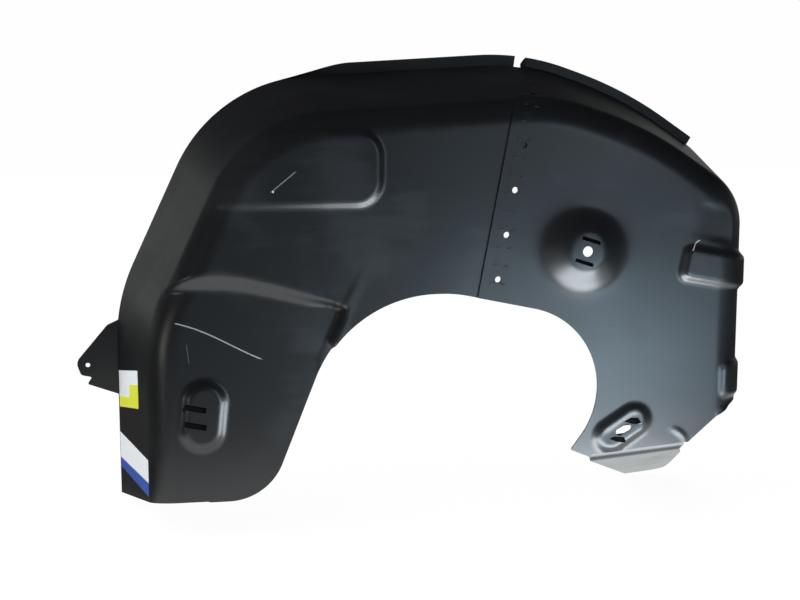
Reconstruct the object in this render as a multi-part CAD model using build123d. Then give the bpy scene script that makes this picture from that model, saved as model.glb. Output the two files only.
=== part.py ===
from build123d import *
from math import atan2, cos, degrees, radians, sin, tan
import os

# Wheel arch liner: two formed plastic sheets, lapped and stapled along a seam.
# The form is drawn on its wall: x runs to the rear, y up, z towards the car body, with the wheel's
# axis at x = y = 0 and the wall at z = 0. The last section stands it up, with its origin at the
# fixing hole of the dish.

# Sheet and form
SHEET = 2.5
DEPTH = 200.0
DRAFT = 12.5
ROUNDING = 35.0

# Arch outline at the wing edge, from the front foot round to the rear, and its roundings
FRONT_X = -408.0
FRONT_KNEE_Y = 97.0
FRONT_SHOULDER = (-276.0, 378.0)
CROWN = (128.0, 401.0)
REAR_SLOPE = (265.0, 353.0)
REAR_SHOULDER_Y = 259.0
REAR_X = 404.0
KNEE_R = 244.0
FRONT_SHOULDER_R = 200.0
CROWN_R = 300.0
REAR_SLOPE_R = 500.0
REAR_SHOULDER_R = 110.0

# Cut-out for strut and axle, from the front foot round to the rear tip
CUT_FOOT = (-230.0, -123.0)
CUT_FRONT = (-131.0, 126.0)
CUT_TOP = (-2.0, 126.0)
CUT_REAR = (251.0, 72.0)
CUT_TIP = (145.0, -74.0)
CUT_END = (171.0, -85.0)
CUT_FOOT_R = 70.0
CUT_FRONT_R = 158.0
CUT_TOP_R = 150.0
CUT_REAR_R = 103.0

# Seam: its lower end on the wall, its lean there, its drift to the rear over the depth, the lap
SEAM_FOOT = (26.0, 120.0)
SEAM_LEAN = 10.5
SEAM_DRIFT = 50.0
LAP = 40.0
LAP_GAP = 0.3

# Holes and staples along the seam, spaced along its section: five staples to two holes on the wall,
# then one hole past the bend, and fewer staples on the roof
SEAM_HOLE_R = 4.0
SEAM_HOLE_FIRST_Y = 142.0
WALL_HOLES = 4
COVERED_HOLE = 3
STAPLE_PITCH = 21.6
ROOF_PITCH = 64.8
STAPLE_SPAN = 17.0
STAPLE_WIDTH = 2.0
STAPLE_WIRE = 0.9
STAPLE_TURN = 4.5
STAPLE_CLEARANCE = 0.15
STAPLE_END = 12.0

# Raised pad on the front wall, which runs out flush at its front end
PAD_FRONT_X = -300.0
PAD_REAR_X = -88.0
PAD_LOW_Y = 230.0
PAD_HIGH_Y = 327.0
PAD_RISE = 6.0
PAD_LEAN = 40.0
PAD_CORNER_R = 34.0

# Foot of the front sheet, set back below a sloping band
FOOT_DROP = 12.0
FOOT_BLEND = 0.2
BAND_LEAN = 50.0
BAND_FRONT = (-340.0, 140.0)
BAND_TOP = (-300.0, 148.0)
BAND_END = (-112.0, 114.0)
BAND_SIDE = (-175.0, -12.0)
FOOT_Y = -122.0
FOOT_SLOPE = 11.0
FOOT_RIM = 12.0

# Oval boss on the front foot
FOOT_BOSS = (-306.0, -16.0)
FOOT_BOSS_SIZE = (92.0, 58.0)
FOOT_BOSS_TURN = 84.0
FOOT_BOSS_RISE = 7.0
FOOT_BOSS_LEAN = 58.0
FOOT_SLOT = (26.0, 7.0)
FOOT_SLOT_PITCH = 21.0
FOOT_SLOT_SHIFT = -10.0
FOOT_SLOT_TURN = -12.0

# Dish on the rear wall
DISH = (157.0, 176.0)
DISH_FLAT_R = 23.0
DISH_RISE = 18.0
DISH_SLOPE = 33.0
FIXING_R = 6.5
DISH_SLOT = (24.0, 4.5)
DISH_SLOT_PITCH = 28.0
DISH_SLOT_TURN = -18.0

# Blocks formed round the rear edge
BLOCK = (278.0, 136.0)
BLOCK_HEIGHT = 44.0
BLOCK_TURN = -11.0
BLOCK_RISE = 7.0
BLOCK_CORNER = 6.0
BLOCK_BACK = 120.0
BLOCK_LEAN = 6.0
EDGE_PADS = ((336.0, -18.0), (334.0, -58.0))
EDGE_PAD_HEIGHTS = (50.0, 32.0)
EDGE_PAD_RISE = 4.0
EDGE_PAD_CORNER = 4.0
EDGE_PAD_BACK = 90.0

# Shallow recess above the block
RECESS_STEP = 12.0
RECESS_HEIGHT = 46.0
RECESS_DROP = 4.0
RECESS_LEAN = 45.0

# Foot of the rear sheet: tilted boss, the sheet turned under the foot, and its trimmed corner,
# given by two points on the wall and one on the turned sheet
REAR_BOSS = (211.0, -50.0)
REAR_BOSS_SIZE = (84.0, 50.0)
REAR_BOSS_TURN = 33.0
REAR_BOSS_RISE = 8.0
REAR_BOSS_LEAN = 45.0
REAR_HOLE = (21.0, 9.0)
REAR_HOLE_TURN = 27.0
REAR_SLOTS = (((1.0, 10.5), (9.5, 15.0), (18.5, 14.5), (24.0, 6.0), (11.5, 7.0)),
              ((-18.5, -10.5), (-12.0, -8.0), (0.5, -9.0), (4.0, -16.5), (-9.0, -14.5)))
REAR_FOOT = (184.0, -86.0)
REAR_FOOT_RISE = 5.0
REAR_FOOT_SLOPE = 23.5
UNDER_FRONT = (165.0, 300.0)
UNDER_LOW_Y = -163.0
UNDER_CORNER_R = 75.0
CORNER_FOOT = (292.0, -76.0)
CORNER_SIDE = (354.0, -22.0)
CORNER_BACK = (345.0, -147.0, -150.0)

# Lips at the wing edge and the fixing ear
LIP = 14.0
FRONT_LIP = (-190.0, -100.0, 117.0)
REAR_LIP = (126.0, 358.0)
EAR = ((-398.0, 76.0), (-420.0, 66.0), (-461.0, 18.0), (-455.0, 1.0), (-441.0, -2.0), (-447.0, -11.0),
       (-398.0, -29.0))
EAR_R = (0, 12.0, 12.0, 0, 0, 0, 0)
EAR_HOLE = (-446.0, 14.0)
EAR_HOLE_R = 3.0

# Paper labels on the front flank: middle depth and height, size and turn
LABEL_PAPER = 0.3
UPPER_LABEL = (134.0, -7.0)
UPPER_LABEL_SIZE = (116.0, 48.0)
UPPER_LABEL_TURN = 10.0
LOWER_LABEL = (112.0, -98.0)
LOWER_LABEL_SIZE = (168.0, 46.0)

# Reach of the blocks that cut and bound: past the part, past the drafted form, and just past a face
FAR = 1000.0
SPARE = 60.0
PAST = 5.0
BELOW_Y = -300.0


# Form of the sheets
def arch_outline(grow):
    corners = [(FRONT_X, BELOW_Y), (FRONT_X, FRONT_KNEE_Y), FRONT_SHOULDER, CROWN, REAR_SLOPE,
               (REAR_X, REAR_SHOULDER_Y), (REAR_X, BELOW_Y)]
    radii = [0, KNEE_R, FRONT_SHOULDER_R, CROWN_R, REAR_SLOPE_R, REAR_SHOULDER_R, 0]
    face = make_face(FilletPolyline(*corners, radius=radii, close=True))
    return offset(face, grow, kind=Kind.INTERSECTION)


# One tall drafted arch: slid along z, it gives every face that runs parallel to its flanks
tall_arch = extrude(Pos(0, 0, -DEPTH - SPARE) * arch_outline(SPARE * tan(radians(DRAFT))),
                    amount=DEPTH + 2 * SPARE, taper=DRAFT)


def mould(grow, drop=0.0, past=0.0, spread=0.0):
    """The drafted arch, its faces moved out by grow, its wall set back by drop, its flanks spread."""
    slide = (grow / cos(radians(DRAFT)) + spread) / tan(radians(DRAFT))
    slab = Box(2 * FAR, 2 * FAR, DEPTH + past + grow - drop, align=(Align.CENTER, Align.CENTER, Align.MAX))
    body = Pos(0, 0, slide) * tall_arch & Pos(0, 0, grow - drop) * slab
    wall = body.faces().sort_by(Axis.Z)[-1]
    rim = [edge for edge in wall.edges() if edge.center().Y > BELOW_Y / 2]
    return fillet(rim, ROUNDING + grow)


def raised(profile, rise, lean, grow, root):
    """A block drawn at z = 0, from root below it to rise above, with sides that lean in."""
    spread = root * tan(radians(lean)) + grow / cos(radians(lean))
    base = Pos(0, 0, -root) * offset(profile, spread, kind=Kind.INTERSECTION)
    return extrude(base, amount=root + rise + grow, taper=lean)


def hollow(points, deep, lean, grow):
    """The space over a set-back area drawn at z = 0, with sides that lean out."""
    spread = ROUNDING * tan(radians(lean)) - grow / cos(radians(lean))
    cap = offset(make_face(Polyline(*points, close=True)), spread, kind=Kind.INTERSECTION)
    return extrude(Pos(0, 0, ROUNDING) * cap, amount=ROUNDING + deep - grow, dir=(0, 0, -1), taper=lean)


def oval_boss(place, size, turn, rise, lean, grow, wall_z):
    oval = Pos(*place) * Rot(0, 0, turn) * SlotOverall(*size)
    return Pos(0, 0, wall_z) * raised(oval, rise, lean, grow, PAST)


def upright_cut(points, radii):
    """A block straight through the wall's direction."""
    face = make_face(FilletPolyline(*points, radius=radii, close=True))
    return extrude(face, amount=FAR, both=True)


def slot_cut(place, size, turn):
    return extrude(Pos(*place) * Rot(0, 0, turn) * Rectangle(*size), amount=FAR, both=True)


def lip_plate(corners, inner):
    """A flat lip at the wing edge of the sheet whose wheel side is at inner, within the given corners."""
    ring = arch_outline(LIP) - arch_outline(inner / cos(radians(DRAFT)))
    return Pos(0, 0, -DEPTH) * extrude(ring & make_face(Polyline(*corners, close=True)), amount=SHEET)


# Seam
seam_up = Vector(sin(radians(SEAM_LEAN)), cos(radians(SEAM_LEAN)), 0)
seam_back = Vector(SEAM_DRIFT, 0, -DEPTH)
seam_across = seam_back.cross(seam_up).normalized()
seam_plane = Plane(origin=(*SEAM_FOOT, 0), x_dir=seam_up, z_dir=seam_across)
half_space = Box(FAR * 2, FAR * 2, FAR, align=(Align.CENTER, Align.CENTER, Align.MIN))
behind_seam = seam_plane * half_space
behind_lap = seam_plane.offset(LAP) * half_space

lap_outer = SHEET + LAP_GAP
lap_stack = 2 * SHEET + LAP_GAP
lap_form = mould(lap_outer)
roof_ray = Axis((SEAM_FOOT[0] + LAP, 0, -DEPTH / 2), (0, 1, 0))
roof_y = lap_form.find_intersection_points(roof_ray)[-1][0].Y - DEPTH / 2 * tan(radians(DRAFT))
bend_y = roof_y - (ROUNDING + lap_outer) / cos(radians(DRAFT)) + ROUNDING * tan(radians(DRAFT))
bend_turn = 90 - DRAFT
bend_run = (ROUNDING + lap_outer) * radians(bend_turn)
roof_run = (DEPTH - ROUNDING) / cos(radians(DRAFT))
seam_end = bend_y + bend_run + roof_run


def seam_place(run):
    """Plane on the lap's middle line: x across the seam, y out of the sheet, z along the seam."""
    turn = min(max((run - bend_y) / (ROUNDING + lap_outer), 0), radians(bend_turn))
    back = max(run - bend_y - bend_run, 0) * cos(radians(DRAFT))
    start = Vector(0, min(run, bend_y) + back * tan(radians(DRAFT)), -ROUNDING - back)
    out = Vector(0, sin(turn), cos(turn))
    guess = start + out * (ROUNDING + lap_outer)
    offset_x = LAP / 2 - (guess - seam_plane.origin).dot(seam_across)
    ray = Axis(start + Vector(guess.X + offset_x / seam_across.X, 0, 0), out)
    point, normal = lap_form.find_intersection_points(ray)[-1]
    along = seam_across.cross(normal).normalized()
    return Plane(origin=point, x_dir=normal.cross(along), z_dir=along)


first_staple = SEAM_HOLE_FIRST_Y - STAPLE_PITCH / 4
wall_rows = int((bend_y + bend_run - first_staple) / STAPLE_PITCH)
roof_start = first_staple + STAPLE_PITCH * wall_rows
roof_rows = int((seam_end - STAPLE_END - roof_start) / ROOF_PITCH)
staple_runs = [first_staple + STAPLE_PITCH * row for row in range(wall_rows)]
staple_runs += [roof_start + ROOF_PITCH * row for row in range(roof_rows + 1)]
staple_places = [seam_place(run) for run in staple_runs]
hole_places = [seam_place(SEAM_HOLE_FIRST_Y + STAPLE_PITCH * 5 / 2 * row) for row in range(WALL_HOLES)]
hole_places += [seam_place(roof_start + STAPLE_PITCH / 2)]


def staple(place):
    """Flat wire: crown on the wheel side, legs through the lap, ends turned in on the body side."""
    low = -lap_stack - STAPLE_CLEARANCE
    high = STAPLE_CLEARANCE
    inside = Pos(0, (low + high) / 2) * Rectangle(STAPLE_SPAN, high - low)
    frame = Pos(0, (low + high) / 2) * Rectangle(STAPLE_SPAN + 2 * STAPLE_WIRE, high - low + 2 * STAPLE_WIRE)
    mouth = Pos(0, high) * Rectangle(STAPLE_SPAN - 2 * STAPLE_TURN, 4 * STAPLE_WIRE)
    return extrude(place * (frame - inside - mouth), amount=STAPLE_WIDTH / 2, both=True)


def leg_slots(place):
    size = STAPLE_WIRE + 2 * STAPLE_CLEARANCE
    legs = [Pos(side * (STAPLE_SPAN + STAPLE_WIRE) / 2, -lap_stack / 2) * Rectangle(size, 2 * lap_stack)
            for side in (-1, 1)]
    return extrude(place * Sketch(legs), amount=STAPLE_WIDTH / 2 + STAPLE_CLEARANCE, both=True)


def seam_hole(place):
    turned = Plane(origin=place.origin, x_dir=place.x_dir, z_dir=place.y_dir)
    return turned * Cylinder(SEAM_HOLE_R, 4 * lap_stack)


# Front half
def front_form(grow, past=0.0):
    fade = degrees(atan2(PAD_RISE, PAD_REAR_X - PAD_FRONT_X))
    swing = Pos(PAD_REAR_X, 0, 0) * Rot(0, -fade, 0) * Pos(-PAD_REAR_X, 0, 0)
    pad_start = PAD_FRONT_X - PAD_CORNER_R
    pad_face = make_face(FilletPolyline((pad_start, PAD_LOW_Y), (PAD_REAR_X, PAD_LOW_Y),
                                        (PAD_REAR_X, PAD_HIGH_Y), (pad_start, PAD_HIGH_Y),
                                        radius=[0, PAD_CORNER_R, PAD_CORNER_R, 0], close=True))
    pad = swing * mould(grow + PAD_RISE) & raised(pad_face, 2 * PAD_RISE, PAD_LEAN, grow, PAST)
    band = [(-FAR, BAND_FRONT[1]), BAND_FRONT, BAND_TOP, BAND_END, BAND_SIDE, (BAND_SIDE[0], -FAR),
            (-FAR, -FAR)]
    over_foot = hollow(band, FOOT_DROP + 2 * ROUNDING, BAND_LEAN, grow)
    over_foot -= mould(grow, FOOT_DROP, past, FOOT_BLEND)
    boss = oval_boss(FOOT_BOSS, FOOT_BOSS_SIZE, FOOT_BOSS_TURN, FOOT_BOSS_RISE, FOOT_BOSS_LEAN, grow,
                     -FOOT_DROP)
    return mould(grow, 0, past) + pad - over_foot + boss


cut_out = upright_cut([(CUT_FOOT[0] - CUT_FOOT_R, CUT_FOOT[1]), CUT_FOOT, CUT_FRONT, CUT_TOP, CUT_REAR,
                       CUT_TIP, CUT_END, (CUT_END[0], BELOW_Y), (CUT_FOOT[0] - CUT_FOOT_R, BELOW_Y)],
                      [0, CUT_FOOT_R, CUT_FRONT_R, CUT_TOP_R, CUT_REAR_R, 0, 0, 0, 0])
foot_plane = Plane(origin=(0, FOOT_Y, -FOOT_DROP), x_dir=(1, 0, 0),
                   z_dir=(0, -cos(radians(FOOT_SLOPE)), sin(radians(FOOT_SLOPE))))
rim_start = FRONT_X + DEPTH * tan(radians(DRAFT)) + ROUNDING
rim_length = CUT_FOOT[0] - CUT_FOOT_R / 2 - rim_start

front_half = front_form(0) - front_form(-SHEET, PAST)
front_half += lip_plate([(FRONT_LIP[0], CROWN[1] - 2 * LIP), (FRONT_LIP[1], CROWN[1] + LIP),
                         (FRONT_LIP[2], CROWN[1] + 2 * LIP), (FRONT_LIP[2], CROWN[1] - 2 * LIP)], -SHEET)
ear = make_face(FilletPolyline(*EAR, radius=EAR_R, close=True)) - arch_outline(-SHEET)
front_half += Pos(0, 0, -DEPTH) * extrude(ear, amount=SHEET)
front_half += foot_plane * Pos(rim_start, 0, 0) * Box(rim_length, FOOT_RIM, SHEET,
                                                      align=(Align.MIN, Align.MAX, Align.MAX))
front_half = front_half - behind_lap - cut_out - foot_plane * half_space
front_half -= Pos(*EAR_HOLE, -DEPTH) * Cylinder(EAR_HOLE_R, 4 * SHEET)
for side in (-1, 1):
    slot_y = FOOT_BOSS[1] + side * FOOT_SLOT_PITCH / 2
    front_half -= slot_cut((FOOT_BOSS[0] + FOOT_SLOT_SHIFT, slot_y), FOOT_SLOT, FOOT_SLOT_TURN)
front_half -= [leg_slots(place) for place in staple_places]
front_half -= [seam_hole(place) for row, place in enumerate(hole_places) if row != COVERED_HOLE]


# Rear half
def dish(grow):
    """The round dish: flat middle and cone, turned about its own axis."""
    slope = radians(DISH_SLOPE)
    top = DISH_RISE + grow
    rim_x = DISH_FLAT_R + grow * tan(slope / 2)
    foot_x = rim_x + (DISH_RISE + PAST) / tan(slope)
    side = Polyline((0, top), (rim_x, top), (foot_x, grow - PAST), (0, grow - PAST), close=True)
    return Pos(*DISH, 0) * revolve(Plane.XZ * make_face(side), Axis.Z)


def edge_block(place, height, turn, rise, corner, back, grow):
    """A block raised on wall, rounding and flank alike, as far back as given."""
    face = Pos(*place) * Rot(0, 0, turn) * Rectangle(FAR / 4, height, align=(Align.MIN, Align.MIN))
    face = chamfer(face.vertices().sort_by(Axis.X)[:2], corner)
    return mould(grow + rise) & raised(face, 2 * rise, BLOCK_LEAN, grow, back + grow)


def rear_form(grow, past=0.0):
    body = mould(grow, 0, past) + dish(grow)
    body += edge_block(BLOCK, BLOCK_HEIGHT, BLOCK_TURN, BLOCK_RISE, BLOCK_CORNER, BLOCK_BACK, grow)
    for place, height in zip(EDGE_PADS, EDGE_PAD_HEIGHTS):
        body += edge_block(place, height, 0, EDGE_PAD_RISE, EDGE_PAD_CORNER, EDGE_PAD_BACK, grow)
    recess = Pos(*BLOCK) * Rot(0, 0, BLOCK_TURN) * Pos(0, BLOCK_HEIGHT + RECESS_STEP)
    corners = ((0, 0), (FAR / 4, 0), (FAR / 4, RECESS_HEIGHT), (0, RECESS_HEIGHT))
    body -= hollow([(recess * Pos(*corner)).position for corner in corners], RECESS_DROP, RECESS_LEAN, grow)
    body += oval_boss(REAR_BOSS, REAR_BOSS_SIZE, REAR_BOSS_TURN, REAR_BOSS_RISE, REAR_BOSS_LEAN, grow, 0)
    return body - under_foot.offset(grow) * half_space


under_foot = Plane(origin=(*REAR_FOOT, 0),
                   x_dir=(cos(radians(REAR_FOOT_RISE)), sin(radians(REAR_FOOT_RISE)), 0),
                   z_dir=(sin(radians(REAR_FOOT_RISE)), -cos(radians(REAR_FOOT_RISE)),
                          tan(radians(REAR_FOOT_SLOPE))))
under_front = Plane.XZ * make_face(Polyline((-FAR, -ROUNDING / 2), (UNDER_FRONT[0], -ROUNDING / 2),
                                            (UNDER_FRONT[1], -DEPTH - PAST), (-FAR, -DEPTH - PAST),
                                            close=True))
corner_x = REAR_X - UNDER_CORNER_R
corner_y = UNDER_LOW_Y + UNDER_CORNER_R
under_corner = Rectangle(UNDER_CORNER_R + PAST, UNDER_CORNER_R + PAST, align=(Align.MIN, Align.MAX))
under_corner = Pos(corner_x, corner_y) * (under_corner - Circle(UNDER_CORNER_R))

corner_foot = Vector(*CORNER_FOOT, 0)
corner_side = Vector(*CORNER_SIDE, 0)
corner_out = (Vector(*CORNER_BACK) - corner_foot).cross(corner_side - corner_foot)
past_corner = Plane(origin=corner_foot, x_dir=corner_side - corner_foot, z_dir=corner_out) * half_space

rear_half = rear_form(lap_outer) - rear_form(LAP_GAP, PAST)
rear_half += lip_plate([(REAR_LIP[0], CROWN[1] - 2 * LIP), (REAR_LIP[0], CROWN[1] + 2 * LIP),
                        (REAR_LIP[1], CROWN[1] + 2 * LIP), (REAR_LIP[1], REAR_SHOULDER_Y)], LAP_GAP)
rear_half = rear_half & behind_seam
rear_half = rear_half - cut_out - past_corner - extrude(under_front, amount=FAR)
rear_half -= extrude(under_corner, amount=FAR, both=True)
rear_half -= Pos(*DISH, 0) * Cylinder(FIXING_R, FAR / 4)
for side in (-1, 1):
    across = Pos(*DISH) * Rot(0, 0, DISH_SLOT_TURN) * Pos(0, side * DISH_SLOT_PITCH / 2)
    rear_half -= extrude(across * Rectangle(*DISH_SLOT), amount=FAR / 4, both=True)
boss_openings = [make_face(Polyline(*corners, close=True)) for corners in REAR_SLOTS]
boss_openings += [Rot(0, 0, REAR_HOLE_TURN) * Rectangle(*REAR_HOLE)]
rear_half -= [extrude(Pos(*REAR_BOSS) * opening, amount=FAR / 4, both=True) for opening in boss_openings]
rear_half -= [leg_slots(place) for place in staple_places]
rear_half -= [seam_hole(place) for place in hole_places]

seam_staples = Compound(children=[staple(place) for place in staple_places])


# Labels
def label(place, size, turn):
    paper = mould(LABEL_PAPER) - mould(0)
    sheet = Pos(FRONT_X, place[1], -place[0]) * Rot(-turn, 0, 0) * Box(FAR / 4, size[1], size[0])
    return paper & sheet


upper_label = label(UPPER_LABEL, UPPER_LABEL_SIZE, UPPER_LABEL_TURN)
lower_label = label(LOWER_LABEL, LOWER_LABEL_SIZE, 0)

# Stand it up, with the origin at the fixing hole on the dish's body side
upright = Rot(90, 0, 0) * Pos(-DISH[0], -DISH[1], -DISH_RISE - lap_outer)
nodes = {"front_half": front_half, "rear_half": rear_half, "seam_staples": seam_staples,
         "upper_label": upper_label, "lower_label": lower_label}

os.makedirs("parts", exist_ok=True)
for name, shape in nodes.items():
    export_step(upright * shape, f"parts/{name}.step")
    box = (upright * shape).bounding_box()
    print(name, "solids", len(shape.solids()), "valid", shape.is_valid, "from", box.min, "to", box.max)
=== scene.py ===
# %% [markdown]
# # A wheel arch liner
# This lesson dresses a car's wheel arch liner: two thin black plastic sheets, formed hot over a mould,
# lapped along a seam and held there by staples. The solid model gives its frame, and every surface
# below is worked out again with numpy, finer and softer than the solids, in the same place.

# %% Load the frame
from collections import namedtuple
from math import atan2, cos, pi, radians, sin, tan
from types import SimpleNamespace as Sizes

import bpy
import numpy as np
from numpy.linalg import norm
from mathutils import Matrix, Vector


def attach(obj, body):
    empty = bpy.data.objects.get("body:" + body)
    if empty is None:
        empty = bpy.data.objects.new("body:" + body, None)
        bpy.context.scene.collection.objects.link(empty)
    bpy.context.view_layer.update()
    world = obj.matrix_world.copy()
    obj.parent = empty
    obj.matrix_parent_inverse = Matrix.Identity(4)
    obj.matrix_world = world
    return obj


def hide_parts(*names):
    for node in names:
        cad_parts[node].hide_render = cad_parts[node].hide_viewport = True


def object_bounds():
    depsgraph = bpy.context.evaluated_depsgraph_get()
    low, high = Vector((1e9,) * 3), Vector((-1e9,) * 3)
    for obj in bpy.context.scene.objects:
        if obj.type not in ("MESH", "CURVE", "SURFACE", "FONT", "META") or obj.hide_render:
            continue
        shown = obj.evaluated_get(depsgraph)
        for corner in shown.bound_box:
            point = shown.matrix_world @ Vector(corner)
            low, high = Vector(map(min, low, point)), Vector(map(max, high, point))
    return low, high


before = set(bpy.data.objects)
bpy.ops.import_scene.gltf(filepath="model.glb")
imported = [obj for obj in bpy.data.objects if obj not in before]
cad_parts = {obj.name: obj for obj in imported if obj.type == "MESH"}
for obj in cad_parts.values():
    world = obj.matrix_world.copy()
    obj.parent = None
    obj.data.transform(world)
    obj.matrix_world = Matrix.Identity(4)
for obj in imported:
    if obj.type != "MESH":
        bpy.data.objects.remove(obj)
cad_box = [list(map(float, corner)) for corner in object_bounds()]
print("solid model from", cad_box[0], "to", cad_box[1])

# %% [markdown]
# ## The form as a flat plan
# A formed sheet is easiest to draw flat. We draw on the wall that faces the car body: x runs to the rear
# and y up, in millimetres, with the wheel's axis at zero. Outside a line round the wall, a flat point is
# carried round a bend and down a flank by its distance from that line. A bevelled solid could give the
# same body. This formula gives it without a seam, and every later shape follows it.

# %% Plan of the arch
DEPTH, DRAFT, ROUNDING = 200.0, radians(12.5), 35.0
SHEET, LAP_GAP = 2.5, 0.3
DISH, DISH_RISE = np.array([157.0, 176.0]), 18.0
BODY_SIDE = DISH_RISE + SHEET + LAP_GAP
BEND = pi / 2 - DRAFT
WALL_INSET = DEPTH * tan(DRAFT) + ROUNDING * tan(BEND / 2)
FLANK = (DEPTH - ROUNDING * (1 - cos(BEND))) / sin(BEND)
FLAT_END = ROUNDING * BEND + FLANK
WING_EDGE = np.array([(-408, -400), (-408, 97), (-276, 378), (128, 401), (265, 353), (404, 259),
                      (404, -400)], float)
WING_RADII = [0, 244, 200, 300, 500, 110, 0]
FAR_OFF, TINY = 1e6, 1e-9


def rounded_parts(corners, radii):
    """Straight runs and arcs of a polyline with rounded corners: an arc starts a tangent length,
    radius times tan(turn / 2), before its corner."""
    ways = np.diff(corners, axis=0)
    lengths = norm(ways, axis=1)
    ways = ways / lengths[:, None]
    outs = np.column_stack([-ways[:, 1], ways[:, 0]])
    reach = np.zeros(len(corners))
    arcs = []
    for k in range(1, len(corners) - 1):
        turn = np.arccos(np.clip(ways[k - 1] @ ways[k], -1, 1))
        reach[k] = radii[k] * tan(turn / 2)
        side = np.sign(ways[k - 1] @ outs[k])
        centre = corners[k] - ways[k - 1] * reach[k] - side * outs[k - 1] * radii[k]
        arcs.append((centre, radii[k], k - 1, k, side))
    runs = [(corners[k] + ways[k] * reach[k], lengths[k] - reach[k] - reach[k + 1], ways[k], outs[k])
            for k in range(len(ways))]
    return runs, arcs, ways, outs


def rounded_line(corners, radii, step=3.0):
    """Points along a polyline with rounded corners, closely spaced on its arcs."""
    corners = np.asarray(corners, float)
    _, arcs, ways, outs = rounded_parts(corners, radii)
    points = [corners[:1]]
    for centre, radius, before, after, side in arcs:
        if radius == 0:
            points.append(corners[after:after + 1])
            continue
        start = atan2(*(outs[before] * side)[::-1])
        turn = np.arccos(np.clip(ways[before] @ ways[after], -1, 1))
        angles = start + np.linspace(0, -side * turn, max(int(radius * turn / step), 2) + 1)
        points.append(centre + radius * np.column_stack([np.cos(angles), np.sin(angles)]))
    points.append(corners[-1:])
    return np.vstack(points)


def past_bend(flat):
    """Distance of flat points past the line where the wall starts to bend, and the way out there."""
    runs, arcs, ways, _ = rounded_parts(WING_EDGE, WING_RADII)
    best = np.full(len(flat), -FAR_OFF)
    out = np.zeros((len(flat), 2))
    for start, length, way, aside in runs:
        along = (flat - start) @ way
        far = (flat - start) @ aside
        take = (along >= 0) & (along <= length) & (far > best)
        best[take] = far[take]
        out[take] = aside
    for centre, radius, before, after, _ in arcs:
        ray = flat - centre
        far = norm(ray, axis=1)
        ray = ray / np.maximum(far, TINY)[:, None]
        take = (ray @ ways[before] >= 0) & (ray @ ways[after] <= 0) & (far - radius > best)
        best[take] = far[take] - radius
        out[take] = ray[take]
    return best + WALL_INSET, out


def formed(flat):
    """Flat points bent to the arch: x and y with depth behind the wall, the way out of the sheet, the
    way out in the plan, and how far round the bend and down the flank each point is, from 0 to 1."""
    past, out = past_bend(flat)
    turn = np.clip(past / ROUNDING, 0, BEND)
    down = np.clip(past - ROUNDING * BEND, 0, None)
    over = np.minimum(past, 0) + ROUNDING * np.sin(turn) + down * cos(BEND)
    depth = ROUNDING * (1 - np.cos(turn)) + down * sin(BEND)
    points = np.column_stack([flat + out * (over - past)[:, None], depth])
    normals = np.column_stack([out * np.sin(turn)[:, None], -np.cos(turn)])
    return points, normals, out, turn / BEND, down / FLANK


def flattened(x, y, depth):
    """The flat point that is bent to a given place on the wall, or on the flank if it has a depth."""
    place = np.array([[x, y]], float)
    past, out = past_bend(place)
    along = past[0]
    if depth > 0:
        rise = depth - ROUNDING * (1 - cos(BEND))
        along = ROUNDING * BEND + rise * sin(BEND) + (past[0] - ROUNDING * sin(BEND)) * cos(BEND)
    return place[0] + out[0] * (along - past[0])


def placed(points):
    """From x, y and depth in millimetres to the frame, whose origin is the dish's fixing hole."""
    x, y, depth = points.T
    return np.column_stack([x - DISH[0], depth + BODY_SIDE, y - DISH[1]]) / 1000


print("flat length from the bend to the wing edge", round(FLAT_END, 1), "mm")

# %% [markdown]
# ## Soft steps
# Hot sheet doesn't follow a mould's corners: every pad, dish and step has soft shoulders. They could be
# extruded and bevelled one by one. Here each is the distance to its outline, eased from 0 to 1 over the
# width of its slope, because such heights add up and bend with the sheet.

# %% Distances and eases
RIPPLES = ((2.1, 1.3, 0), (1.1, -2.7, 1), (3.3, 0.4, 2))


def ease(t):
    """A smooth step from 0 to 1: 3t squared less 2t cubed."""
    t = np.clip(t, 0, 1)
    return t * t * (3 - 2 * t)


def soft_top(a, b, soft):
    """The larger of two values, with the crease between them rounded."""
    return (a + b + np.sqrt((a - b) ** 2 + soft * soft)) / 2


def turned(points, centre, angle):
    """Points seen from a centre, in axes turned by an angle in degrees."""
    c, s = cos(radians(angle)), sin(radians(angle))
    return (points - np.asarray(centre, float)) @ np.array([[c, -s], [s, c]])


def from_box(points, area):
    """Distance outside a rectangle with rounded corners, negative inside."""
    low, high = np.asarray(area.low, float), np.asarray(area.high, float)
    q = np.abs(points - (low + high) / 2) - (high - low) / 2 + area.corner
    return norm(np.maximum(q, 0), axis=1) + np.minimum(q.max(axis=1), 0) - area.corner


def from_oval(points, area):
    """Distance outside a slot-shaped oval, negative inside."""
    q = turned(points, area.middle, area.turn)
    half = (area.size[0] - area.size[1]) / 2
    q[:, 0] -= np.clip(q[:, 0], -half, half)
    return norm(q, axis=1) - area.size[1] / 2


def from_polygon(points, corners):
    """Distance outside a closed polygon, negative inside: the nearest side, signed by crossings."""
    corners = np.asarray(corners, float)
    nearest = np.full(len(points), np.inf)
    inside = np.zeros(len(points), bool)
    for a, b in zip(corners, np.roll(corners, -1, axis=0)):
        way = b - a
        t = np.clip((points - a) @ way / max(way @ way, TINY), 0, 1)
        nearest = np.minimum(nearest, norm(points - a - t[:, None] * way, axis=1))
        if a[1] != b[1]:
            between = (a[1] > points[:, 1]) != (b[1] > points[:, 1])
            cross = a[0] + (points[:, 1] - a[1]) / (b[1] - a[1]) * (b[0] - a[0])
            inside ^= between & (points[:, 0] < cross)
    return np.where(inside, -nearest, nearest)


def waves(points, size, height):
    """Slow ripples of a thin sheet: the mean of three crossed sines of about the given length."""
    x, y = points.T / size
    return height * sum(np.sin(a * x + b * y + start) for a, b, start in RIPPLES) / len(RIPPLES)


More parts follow.
